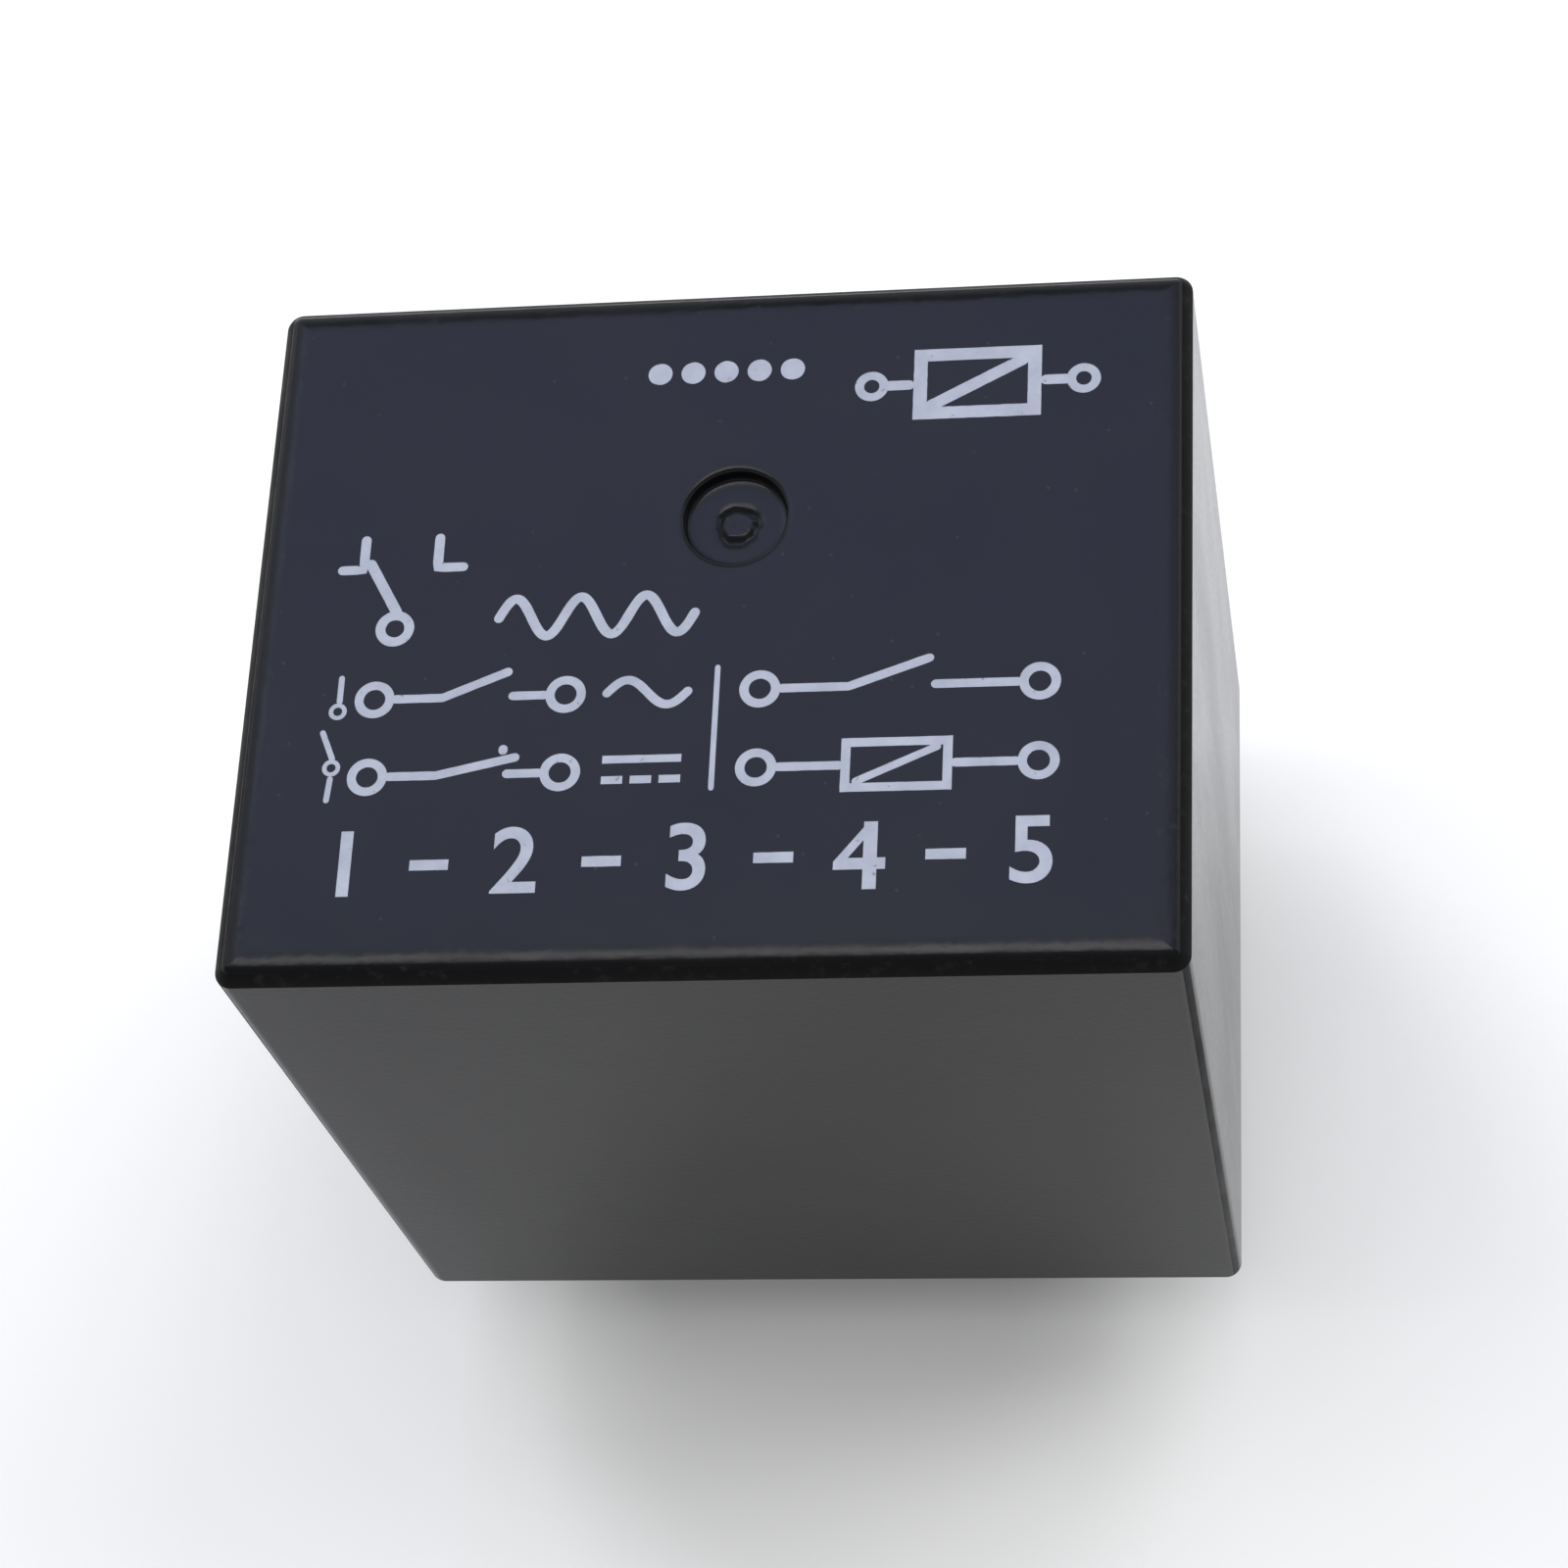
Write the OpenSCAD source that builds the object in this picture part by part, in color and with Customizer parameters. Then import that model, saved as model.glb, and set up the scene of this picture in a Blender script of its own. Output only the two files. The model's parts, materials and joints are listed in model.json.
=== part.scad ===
// Sealed power relay for a printed circuit board, one changeover contact.
// Millimetres. Origin: middle of the footprint, on the face that sits on the
// circuit board. +X runs from the hinge end to the contact end, +Z is up.
// The armature is drawn released, resting on the normally closed contact.

/* [Housing] */
// Length of the housing along X
body_l = 20.5; // [20.3:0.1:21.5]
// Width of the housing along Y
body_w = 16.5; // [16:0.1:17.5]
// Height of the housing above the board
body_h = 20.2; // [20.1:0.1:21.5]
// Wall thickness of the cover
wall = 0.9; // [0.6:0.05:0.9]
// Thickness of the cover's roof
roof = 1; // [0.75:0.05:1]
// Radius of the cover's outside edges
edge_r = 0.55; // [0.3:0.05:0.7]
// Diameter of the round dimple in the roof
dimple_d = 2.5; // [1.6:0.1:3]
// Depth of the round dimple
dimple_depth = 0.4; // [0.2:0.05:0.55]
// Place of the dimple along X
dimple_x = 0.4; // [-4:0.05:4]
// Place of the dimple along Y
dimple_y = 2.45; // [-4:0.05:4]

/* [Pins] */
// Length of the pins below the board face
pin_len = 3.6; // [3:0.1:4.5]
// Diameter of the two round coil pins
coil_pin_d = 0.6; // [0.5:0.05:0.7]
// Width of the flat contact pins
blade_w = 1; // [0.8:0.05:1.2]
// Thickness of the contact strips
strip_t = 0.5; // [0.4:0.05:0.5]
// Distance of each outer pin row from the middle line
pin_y = 6; // [5.9:0.05:6]

/* [Magnet] */
// Diameter of the iron core
core_d = 4.4; // [3.2:0.1:4.4]
// Diameter of the core's pole face
pole_d = 7; // [5:0.1:7.4]
// Outside diameter of the winding
coil_d = 9.8; // [7.4:0.1:9.8]
// Thickness of the yoke
yoke_t = 1.2; // [1:0.05:1.2]
// Thickness of the armature
arm_t = 1.2; // [1:0.05:1.2]
// Swing of the armature, in degrees
swing = 3.2; // [2.6:0.1:3.2]

/* [Contacts] */
// Thickness of the contact spring
spring_t = 0.18; // [0.12:0.02:0.2]
// Width of the contact spring
spring_w = 5; // [4:0.1:6]
// Diameter of the moving contact
move_d = 2.4; // [1.8:0.1:2.6]
// Diameter of the two fixed contacts
fixed_d = 2.6; // [2:0.1:2.6]

/* [Hidden] */
$fn = 64;

// Inside of the cover
in_x = body_l / 2 - wall;
in_y = body_w / 2 - wall;
in_z = body_h - roof;

// Levels
resin_z0 = 0.2;
base_z0 = 0.55;
base_z1 = 1.95;
yoke_z0 = 2.1;
yoke_z1 = yoke_z0 + yoke_t;
flange_z1 = yoke_z1 + 0.8;
hinge_z = 15.2;
pole_z0 = hinge_z - 0.8;
top_flange_z0 = pole_z0 - 0.7;

// Hinge edge of the yoke, coil axis and contact axis
hinge_x = -7.9;
flange_x0 = -6.6;
flange_x1 = 3.6;
coil_x = (flange_x0 + flange_x1) / 2;
com_x = hinge_x - spring_t - strip_t / 2;
coil_pin_x = com_x + 2;
contact_x = com_x + 14.2;
reach = contact_x - hinge_x;

// Heights in the armature's own frame, measured from the hinge edge
arm_v0 = 0.02;
arm_v1 = arm_v0 + arm_t;
leaf_v0 = arm_v1 + 0.005;
leaf_v1 = leaf_v0 + spring_t;
low_tip = leaf_v0 - 0.55;
high_tip = leaf_v1 + 0.45;
crown = 0.1;
crown_r = (pow(move_d / 2, 2) + crown * crown) / (2 * crown);

// Faces of the fixed contacts: the closed one clears the raised crown, the
// open one clears the lowered crown
nc_face = hinge_z + reach * sin(swing) + (high_tip - crown_r) * cos(swing)
  + crown_r + 0.012;
no_face = hinge_z + low_tip - 0.02;
nc_z0 = nc_face + 0.4;
no_z1 = no_face - 0.45;
bend_r = 0.3;
strip_w = 2.6;

// Pegs that hold the spring: on the armature (along it) and on the yoke (up it)
arm_pegs = [5.2, 9.0];
yoke_pegs = [hinge_z - 5.7, hinge_z - 3.2];
peg_r = 0.55;

wire_r = 0.06;
wrap_r = 0.35 * sqrt(2) + wire_r + 0.01;

module box(x0, x1, y0, y1, z0, z1)
  translate([x0, y0, z0]) cube([x1 - x0, y1 - y0, z1 - z0]);

// Places its children in the armature's frame, lifted by the swing
module arm_frame()
  translate([hinge_x, 0, hinge_z]) rotate([0, -swing, 0]) children();

// Outline with round corners
module round_rect(l, w, r) {
  square([l - 2 * r, w], center = true);
  square([l, w - 2 * r], center = true);
  for (x = [-1, 1], y = [-1, 1])
    translate([x * (l / 2 - r), y * (w / 2 - r)]) circle(r);
}

// Side profile with a square foot and round top corners
module round_top(l, h, r) {
  translate([-l / 2, -1]) square([l, h - r + 1]);
  translate([-l / 2 + r, -1]) square([l - 2 * r, h + 1]);
  for (x = [-1, 1]) translate([x * (l / 2 - r), h - r]) circle(r);
}

// Flat-bottomed pin outline: width, top height
function pin_points(w, top) = [[-w / 2, top], [-w / 2, 0.45 - pin_len],
  [-w / 4, -pin_len], [w / 4, -pin_len], [w / 2, 0.45 - pin_len], [w / 2, top]];

// Third-degree curve through two ends with two pulls
function curve(a, b, c, d, t) = pow(1 - t, 3) * a + 3 * pow(1 - t, 2) * t * b
  + 3 * (1 - t) * t * t * c + pow(t, 3) * d;

// Point of the armature frame in the side view
function arm_xz(u, v) = [hinge_x + u * cos(swing) - v * sin(swing),
  hinge_z + u * sin(swing) + v * cos(swing)];

// Outline of a strip of thickness t that follows a line of points
function side_of(p, i) = let (
    q = p[min(i + 1, len(p) - 1)] - p[max(i - 1, 0)], n = norm(q))
  [-q[1] / n, q[0] / n];
function strip_points(p, t) = concat(
  [for (i = [0 : len(p) - 1]) p[i] + side_of(p, i) * t / 2],
  [for (i = [len(p) - 1 : -1 : 0]) p[i] - side_of(p, i) * t / 2]);

// ---------------------------------------------------------------- housing

module cover() color([0.17, 0.18, 0.21]) difference() {
  intersection() {
    linear_extrude(body_h) round_rect(body_l, body_w, edge_r);
    translate([0, body_w, 0]) rotate([90, 0, 0])
      linear_extrude(2 * body_w) round_top(body_l, body_h, edge_r);
    translate([-body_l, 0, 0]) rotate([90, 0, 90])
      linear_extrude(2 * body_l) round_top(body_w, body_h, edge_r);
  }
  box(-in_x, in_x, -in_y, in_y, -1, in_z);
  // Round dimple with the small round gate mark left standing on its floor
  translate([dimple_x, dimple_y, body_h - dimple_depth]) difference() {
    cylinder(d = dimple_d, h = 1);
    translate([0, 0, -1]) cylinder(d = 0.9, h = 1.1);
  }
}

module base() color([0.13, 0.13, 0.14]) difference() {
  union() {
    box(-in_x + 0.05, in_x - 0.05, -in_y + 0.05, in_y - 0.05, base_z0, base_z1);
    // Towers that guide the fixed contact strips
    for (s = [0, 1]) mirror([0, s, 0])
      box(contact_x - 1.65, contact_x + 1.7, 5.2, 6.75, base_z1, 9);
    // End rib behind the common strip
    box(-in_x + 0.05, com_x - strip_t / 2 - 0.05, -2.6, 2.6, base_z1, 3.2);
  }
  for (s = [-1, 1]) {
    translate([contact_x, s * pin_y, 0]) {
      box(-blade_w / 2 - 0.02, blade_w / 2 + 0.02, -strip_t / 2 - 0.02,
        strip_t / 2 + 0.02, 0, 3);
      box(-strip_w / 2 - 0.02, strip_w / 2 + 0.02, -strip_t / 2 - 0.02,
        strip_t / 2 + 0.02, 1.53, 10);
    }
    translate([coil_pin_x, s * pin_y, 0]) box(-0.37, 0.37, -0.37, 0.37, 0, 3);
  }
  translate([com_x, 0, 0]) box(-strip_t / 2 - 0.02, strip_t / 2 + 0.02,
    -blade_w / 2 - 0.02, blade_w / 2 + 0.02, 0, 3);
}

// Sealing resin poured into the pool inside the cover's rim, round the pins
module sealing_resin() color([0.08, 0.08, 0.09]) difference() {
  box(-in_x, in_x, -in_y, in_y, resin_z0, base_z0);
  for (s = [-1, 1]) {
    translate([contact_x, s * pin_y, 0])
      box(-blade_w / 2, blade_w / 2, -strip_t / 2, strip_t / 2, 0, 1);
    translate([coil_pin_x, s * pin_y, 0]) box(-0.35, 0.35, -0.35, 0.35, 0, 1);
  }
  translate([com_x, 0, 0])
    box(-strip_t / 2, strip_t / 2, -blade_w / 2, blade_w / 2, 0, 1);
}

// ---------------------------------------------------------------- coil

module bobbin() color([0.86, 0.84, 0.78]) difference() {
  union() {
    // Lower flange, its side skirts and the two blocks for the coil pins
    box(flange_x0, flange_x1, -5.2, 5.2, yoke_z1, flange_z1);
    for (s = [0, 1]) mirror([0, s, 0]) {
      box(flange_x0, flange_x1, 4.1, 5.2, base_z1, yoke_z1);
      box(coil_pin_x - 0.85, coil_pin_x + 0.95, 5.2, 6.75, base_z1, flange_z1);
      box(flange_x0, coil_pin_x + 0.95, 4.9, 5.3, base_z1, flange_z1);
    }
    // Barrier wall between coil and contacts
    box(flange_x1, flange_x1 + 0.5, -6.4, 6.4, base_z1, pole_z0);
    // Barrel and upper flange
    translate([coil_x, 0, yoke_z1]) cylinder(r = core_d / 2 + 0.7, h = pole_z0 - yoke_z1);
    box(flange_x0, flange_x1, -5.2, 5.2, top_flange_z0, pole_z0);
  }
  translate([coil_x, 0, 0]) cylinder(r = core_d / 2 + 0.05, h = 30);
  for (s = [-1, 1]) translate([coil_pin_x, s * pin_y, 0])
    box(-0.36, 0.36, -0.36, 0.36, 0, 8);
  // Relief over the yoke's inside bend
  box(flange_x0 - 1, flange_x0 + 0.25, -4.05, 4.05, yoke_z1 - 0.1, yoke_z1 + 0.4);
  // Corners of the upper flange cut back
  for (s = [0, 1]) mirror([0, s, 0]) translate([flange_x0, 5.2, pole_z0])
    rotate([0, 0, 45]) cube([2, 2, 4], center = true);
}

module coil_winding() color([0.62, 0.28, 0.12])
  translate([coil_x, 0, flange_z1 + 0.02]) difference() {
    cylinder(d = coil_d, h = top_flange_z0 - flange_z1 - 0.04);
    translate([0, 0, -1]) cylinder(r = core_d / 2 + 0.72, h = 30);
  }

// Line of one coil lead: round the winding, straight to the pin, round the pin
lead_r = coil_d / 2 + wire_r + 0.02;
pin_gap = [coil_pin_x - coil_x, pin_y];
lead_a0 = atan2(pin_gap[1], pin_gap[0]) - acos((lead_r - wrap_r) / norm(pin_gap));
lead_line = concat(
  [for (i = [0 : 6]) let (a = lead_a0 - 36 + 6 * i)
    [coil_x + lead_r * cos(a), lead_r * sin(a), flange_z1 + 0.3]],
  [for (i = [0 : 42]) let (a = lead_a0 + 30 * i)
    [coil_pin_x + wrap_r * cos(a), pin_y + wrap_r * sin(a),
      flange_z1 + 0.3 + 0.014 * i]]);
function unit(v) = v / norm(v);
function ring(p, i, r, n) = let (
    t = unit(p[min(i + 1, len(p) - 1)] - p[max(i - 1, 0)]),
    s = unit(cross(t, [0, 0, 1])), w = cross(s, t))
  [for (k = [0 : n - 1]) p[i] + r * (cos(360 * k / n) * s + sin(360 * k / n) * w)];

module swept(p, r, n) polyhedron(
  points = [for (i = [0 : len(p) - 1]) each ring(p, i, r, n)],
  faces = concat(
    [for (i = [0 : len(p) - 2], k = [0 : n - 1])
      [i * n + k, i * n + (k + 1) % n, (i + 1) * n + (k + 1) % n]],
    [for (i = [0 : len(p) - 2], k = [0 : n - 1])
      [i * n + k, (i + 1) * n + (k + 1) % n, (i + 1) * n + k]],
    [[for (k = [n - 1 : -1 : 0]) k]],
    [[for (k = [0 : n - 1]) (len(p) - 1) * n + k]]));

module coil_lead_a() color([0.72, 0.34, 0.16]) swept(lead_line, wire_r, 8);
module coil_lead_b() color([0.72, 0.34, 0.16])
  mirror([0, 1, 0]) swept(lead_line, wire_r, 8);

// Coil pin: square where it is held and wrapped, round where it is soldered
module coil_pin(s) color([0.78, 0.78, 0.76]) translate([coil_pin_x, s * pin_y, 0]) {
  box(-0.35, 0.35, -0.35, 0.35, 0.1, 6);
  translate([0, 0, 0.3 - pin_len]) cylinder(d = coil_pin_d, h = pin_len - 0.2);
  translate([0, 0, -pin_len]) cylinder(d1 = coil_pin_d * 0.55, d2 = coil_pin_d, h = 0.3);
}
module coil_pin_a() coil_pin(1);
module coil_pin_b() coil_pin(-1);

// ---------------------------------------------------------------- magnet

module core() color([0.62, 0.62, 0.63]) translate([coil_x, 0, 0]) {
  translate([0, 0, yoke_z1]) cylinder(d = core_d, h = pole_z0 - yoke_z1);
  translate([0, 0, pole_z0]) cylinder(d = pole_d, h = hinge_z - pole_z0 - 0.03);
  translate([0, 0, yoke_z0]) cylinder(r = 1.55, h = yoke_t);
  // Riveted foot, spread under the yoke
  translate([0, 0, yoke_z0 - 0.13]) cylinder(r1 = 1.8, r2 = 2, h = 0.13);
}

module yoke() color([0.58, 0.59, 0.6]) difference() {
  union() {
    // Bent plate: foot under the coil and upright leg behind it
    translate([0, 4, 0]) rotate([90, 0, 0]) linear_extrude(8) {
      translate([hinge_x + 1.5, yoke_z0]) square([9 - 1.5, yoke_t]);
      translate([hinge_x, yoke_z0 + 1.5]) square([yoke_t, hinge_z - yoke_z0 - 1.5]);
      intersection() {
        translate([hinge_x + 1.5, yoke_z0 + 1.5]) difference() {
          circle(1.5);
          circle(1.5 - yoke_t);
        }
        translate([hinge_x, yoke_z0]) square(1.5);
      }
    }
    box(hinge_x, hinge_x + yoke_t, -5.2, 5.2, flange_z1 + 0.3, hinge_z);
    // Lugs that keep the armature from sliding sideways
    for (s = [0, 1]) mirror([0, s, 0])
      box(hinge_x, hinge_x + yoke_t, 4.5, 5.2, hinge_z - 0.5, hinge_z + 0.8);
    // Pegs riveted over the common strip
    for (z = yoke_pegs) translate([hinge_x + 0.2, 0, z]) rotate([0, -90, 0]) {
      cylinder(r = peg_r, h = 0.2 + spring_t + strip_t + 0.02);
      translate([0, 0, 0.2 + spring_t + strip_t + 0.02])
        cylinder(r1 = 0.85, r2 = 0.7, h = 0.2);
    }
  }
  translate([coil_x, 0, 0]) cylinder(r = 1.55, h = 8);
}

module armature() color([0.66, 0.66, 0.67]) arm_frame() {
  translate([0, 0, arm_v0]) linear_extrude(arm_t) polygon([[0, -4.4],
    [6.9, -4.4], [10.6, -2.6], [11.8, -2.6], [11.8, 2.6], [10.6, 2.6],
    [6.9, 4.4], [0, 4.4]]);
  for (u = arm_pegs) translate([u, 0, arm_v1 - 0.2]) {
    cylinder(r = peg_r, h = 0.2 + spring_t + 0.02);
    translate([0, 0, 0.2 + spring_t + 0.02]) cylinder(r1 = 0.85, r2 = 0.7, h = 0.18);
  }
}

// Leaf spring: leg on the yoke, loop round the hinge, arm on the armature
leaf_x = hinge_x - spring_t / 2;
leaf_v = leaf_v0 + spring_t / 2;
loop_x = hinge_x - 0.68;
leaf_line = concat([[leaf_x, hinge_z - 7.2]],
  [for (i = [0 : 10]) curve([leaf_x, hinge_z - 1.6],
    [leaf_x, hinge_z - 0.6], [loop_x, hinge_z - 0.4], [loop_x, hinge_z + 0.6], i / 10)],
  [for (i = [1 : 14]) curve([loop_x, hinge_z + 0.6],
    [loop_x, hinge_z + 1.9], arm_xz(0.75, leaf_v), arm_xz(2.5, leaf_v), i / 14)],
  [arm_xz(15.3, leaf_v)]);

module contact_spring() color([0.78, 0.52, 0.24]) difference() {
  translate([0, spring_w / 2, 0]) rotate([90, 0, 0])
    linear_extrude(spring_w) polygon(strip_points(leaf_line, spring_t));
  // Window that softens the loop
  box(hinge_x - 1.6, hinge_x + 1.6, -1, 1, hinge_z - 1.3, hinge_z + 2.7);
  // Leg holes over the yoke's pegs
  for (z = yoke_pegs) translate([hinge_x - 1, 0, z]) rotate([0, 90, 0])
    cylinder(r = peg_r + 0.02, h = 2);
  arm_frame() {
    for (u = arm_pegs) translate([u, 0, 0]) cylinder(r = peg_r + 0.02, h = 3);
    translate([reach, 0, 0]) cylinder(r = 0.7, h = 3);
    // Narrow tongue at the contact end, with clipped corners
    for (s = [0, 1]) mirror([0, s, 0]) translate([0, 0, 0.5])
      linear_extrude(2) polygon([[9.8, 4], [9.8, spring_w / 2 + 0.1],
        [10.6, 1.55], [14.7, 1.55], [15.4, 0.9], [15.6, 4]]);
  }
}

// Rivet with two crowned heads, one each side of the spring
module moving_contact() color([0.83, 0.83, 0.8]) arm_frame()
  translate([reach, 0, 0]) rotate_extrude() polygon(concat(
    [for (i = [6 : -1 : 0])
      [move_d / 2 * i / 6, low_tip + crown * pow(i / 6, 2)]],
    [for (i = [0 : 6])
      [move_d / 2 * i / 6, high_tip - crown * pow(i / 6, 2)]],
    [[move_d / 2, leaf_v1], [0.7, leaf_v1], [0.7, leaf_v0], [move_d / 2, leaf_v0]]));

// ---------------------------------------------------------------- terminals

module com_terminal() color([0.72, 0.6, 0.36])
  translate([com_x - strip_t / 2, 0, 0]) rotate([90, 0, 90]) difference() {
    linear_extrude(strip_t) polygon(concat(pin_points(blade_w, 2.4),
      [[1.2, 3.1], [1.2, 7.6], [2.2, 8.4], [2.2, 12.9], [1.9, 13.2],
       [-1.9, 13.2], [-2.2, 12.9], [-2.2, 8.4], [-1.2, 7.6], [-1.2, 3.1]]));
    for (z = yoke_pegs) translate([0, z, -1]) cylinder(r = peg_r + 0.02, h = 3);
  }

// Fixed contact strip on the +Y side: pin, upright, bend and tongue
module fixed_terminal(z) color([0.72, 0.6, 0.36]) translate([contact_x, 0, 0]) {
  translate([0, pin_y + strip_t / 2, 0]) rotate([90, 0, 0])
    linear_extrude(strip_t) polygon(concat(pin_points(blade_w, 1.55),
      [[strip_w / 2, 1.55], [strip_w / 2, z - bend_r],
       [-strip_w / 2, z - bend_r], [-strip_w / 2, 1.55]]));
  translate([-strip_w / 2, pin_y - strip_t / 2 - bend_r, z - bend_r])
    rotate([90, 0, 90]) rotate_extrude(angle = 90)
      translate([bend_r, 0]) square([strip_t, strip_w]);
  difference() {
    translate([0, 0, z]) linear_extrude(strip_t) polygon([
      [-strip_w / 2, pin_y - strip_t / 2 - bend_r], [-strip_w / 2, -0.9],
      [-strip_w / 2 + 0.6, -1.5], [strip_w / 2 - 0.6, -1.5],
      [strip_w / 2, -0.9], [strip_w / 2, pin_y - strip_t / 2 - bend_r]]);
    translate([0, 0, z - 1]) cylinder(r = 0.75, h = 3);
  }
}
module no_terminal() fixed_terminal(no_z1 - strip_t);
module nc_terminal() mirror([0, 1, 0]) fixed_terminal(nc_z0);

// Fixed contact rivet with its face up at z = 0 and its strip below the head
module fixed_contact(head) rotate_extrude() polygon([[0, 0],
  [fixed_d / 2 - 0.1, 0], [fixed_d / 2, -0.1], [fixed_d / 2, -head],
  [0.75, -head], [0.75, -head - strip_t], [1, -head - strip_t],
  [0.9, -head - strip_t - 0.1], [0, -head - strip_t - 0.1]]);
module no_contact() color([0.83, 0.83, 0.8])
  translate([contact_x, 0, no_face]) fixed_contact(0.45);
module nc_contact() color([0.83, 0.83, 0.8])
  translate([contact_x, 0, nc_face]) rotate([180, 0, 0]) fixed_contact(0.4);

cover();
base();
sealing_resin();
bobbin();
coil_winding();
coil_lead_a();
coil_lead_b();
coil_pin_a();
coil_pin_b();
core();
yoke();
armature();
contact_spring();
moving_contact();
com_terminal();
no_terminal();
no_contact();
nc_terminal();
nc_contact();
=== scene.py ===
import json
import math

import bmesh
import bpy
from mathutils import Matrix, Vector, noise

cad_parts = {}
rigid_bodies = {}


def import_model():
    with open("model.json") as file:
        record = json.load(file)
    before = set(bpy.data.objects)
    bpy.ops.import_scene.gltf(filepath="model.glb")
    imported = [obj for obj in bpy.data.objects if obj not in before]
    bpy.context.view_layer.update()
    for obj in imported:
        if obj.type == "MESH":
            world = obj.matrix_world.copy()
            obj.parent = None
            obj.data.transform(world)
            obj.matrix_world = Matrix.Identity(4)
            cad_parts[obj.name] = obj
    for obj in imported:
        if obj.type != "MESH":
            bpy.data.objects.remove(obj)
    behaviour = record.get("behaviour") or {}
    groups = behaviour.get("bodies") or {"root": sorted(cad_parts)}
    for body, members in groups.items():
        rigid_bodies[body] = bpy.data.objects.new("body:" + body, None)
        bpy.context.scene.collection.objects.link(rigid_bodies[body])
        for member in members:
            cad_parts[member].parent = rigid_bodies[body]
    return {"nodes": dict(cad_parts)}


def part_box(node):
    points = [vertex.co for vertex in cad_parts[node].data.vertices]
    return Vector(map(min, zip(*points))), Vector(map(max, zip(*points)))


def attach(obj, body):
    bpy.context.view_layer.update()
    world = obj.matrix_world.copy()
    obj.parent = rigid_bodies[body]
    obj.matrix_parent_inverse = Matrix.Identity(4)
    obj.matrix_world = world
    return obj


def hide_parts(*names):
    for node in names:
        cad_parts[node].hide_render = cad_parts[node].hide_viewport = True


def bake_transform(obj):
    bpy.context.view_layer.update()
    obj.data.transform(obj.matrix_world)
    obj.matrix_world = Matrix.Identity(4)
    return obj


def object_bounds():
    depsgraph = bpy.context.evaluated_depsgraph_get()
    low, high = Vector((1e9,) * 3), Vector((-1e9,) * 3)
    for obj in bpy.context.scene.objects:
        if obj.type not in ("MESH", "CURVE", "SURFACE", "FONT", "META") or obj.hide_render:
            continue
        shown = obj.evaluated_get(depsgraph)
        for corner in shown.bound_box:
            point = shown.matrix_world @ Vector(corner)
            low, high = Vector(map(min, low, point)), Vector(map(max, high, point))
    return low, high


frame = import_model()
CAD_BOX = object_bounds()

MM = 0.001
NODES = frame["nodes"]

# Sizes of the housing in millimetres, as in the CAD frame
LO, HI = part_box("cover")
HX, HY, TOP = HI.x / MM, HI.y / MM, HI.z / MM
WALL, ROOF = 0.9, 1.0
INX, INY, INZ = HX - WALL, HY - WALL, TOP - ROOF
FACE = TOP - 0.011          # roof surface; the print stands on it
DIMPLE = (0.4, 2.45)
DIMPLE_R, DIMPLE_DEPTH = 1.25, 0.4
COIL_X, COIL_R, COIL_IN = -1.5, 4.9, 2.92
PIN_X, PIN_Y, COM_X, CONTACT_X = -6.33, 6.0, -8.33, 5.87
FLOOR_Z = CAD_BOX[0].z


# ------------------------------------------------------------------ helpers

def mesh_object(name, verts, faces, mats, index=None, sharp=40.0, scale=MM):
    """Mesh object from points in millimetres."""
    me = bpy.data.meshes.new(name)
    me.from_pydata([tuple(c * scale for c in v) for v in verts], [], faces)
    for m in mats:
        me.materials.append(m)
    if index is not None:
        me.polygons.foreach_set("material_index", index)
    return shaded(name, me, sharp)


def shaded(name, me, sharp):
    me.update()
    me.polygons.foreach_set("use_smooth", [True] * len(me.polygons))
    me.set_sharp_from_angle(angle=math.radians(sharp))
    ob = bpy.data.objects.new(name, me)
    bpy.context.scene.collection.objects.link(ob)
    return ob


def from_bmesh(name, bm, mats, sharp=40.0):
    me = bpy.data.meshes.new(name)
    bm.to_mesh(me)
    bm.free()
    for m in mats:
        me.materials.append(m)
    return shaded(name, me, sharp)


def place(ob, body, slot, *nodes):
    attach(ob, body)
    if nodes:
        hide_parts(*nodes)
    return ob


def soft_copy(node, name, mats, width, segments=2, angle=28.0, sharp=50.0):
    """New piece in a node's own shape, with its outer edges rounded off."""
    bm = bmesh.new()
    bm.from_mesh(NODES[node].data)
    bmesh.ops.remove_doubles(bm, verts=bm.verts[:], dist=2e-7)
    bmesh.ops.dissolve_limit(bm, angle_limit=math.radians(0.4), use_dissolve_boundaries=False,
                             verts=bm.verts[:], edges=bm.edges[:], delimit=set())
    edges = [e for e in bm.edges if e.is_manifold and e.is_convex
             and e.calc_face_angle(0.0) > math.radians(angle)]
    bmesh.ops.bevel(bm, geom=edges, offset=width * MM, offset_type="OFFSET", segments=segments,
                    profile=0.5, affect="EDGES", clamp_overlap=True, loop_slide=True,
                    face_strength_mode="ALL")
    bmesh.ops.remove_doubles(bm, verts=bm.verts[:], dist=1e-7)
    bmesh.ops.dissolve_degenerate(bm, dist=1e-8, edges=bm.edges[:])
    bmesh.ops.triangulate(bm, faces=[f for f in bm.faces if len(f.verts) > 4])
    bmesh.ops.recalc_face_normals(bm, faces=bm.faces[:])
    for f in bm.faces:
        f.material_index = 0
    ob = from_bmesh(name, bm, mats, sharp)
    wn = ob.modifiers.new("even_normals", "WEIGHTED_NORMAL")
    wn.keep_sharp = True
    wn.use_face_influence = True
    return ob


# ------------------------------------------------------------------ materials

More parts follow.
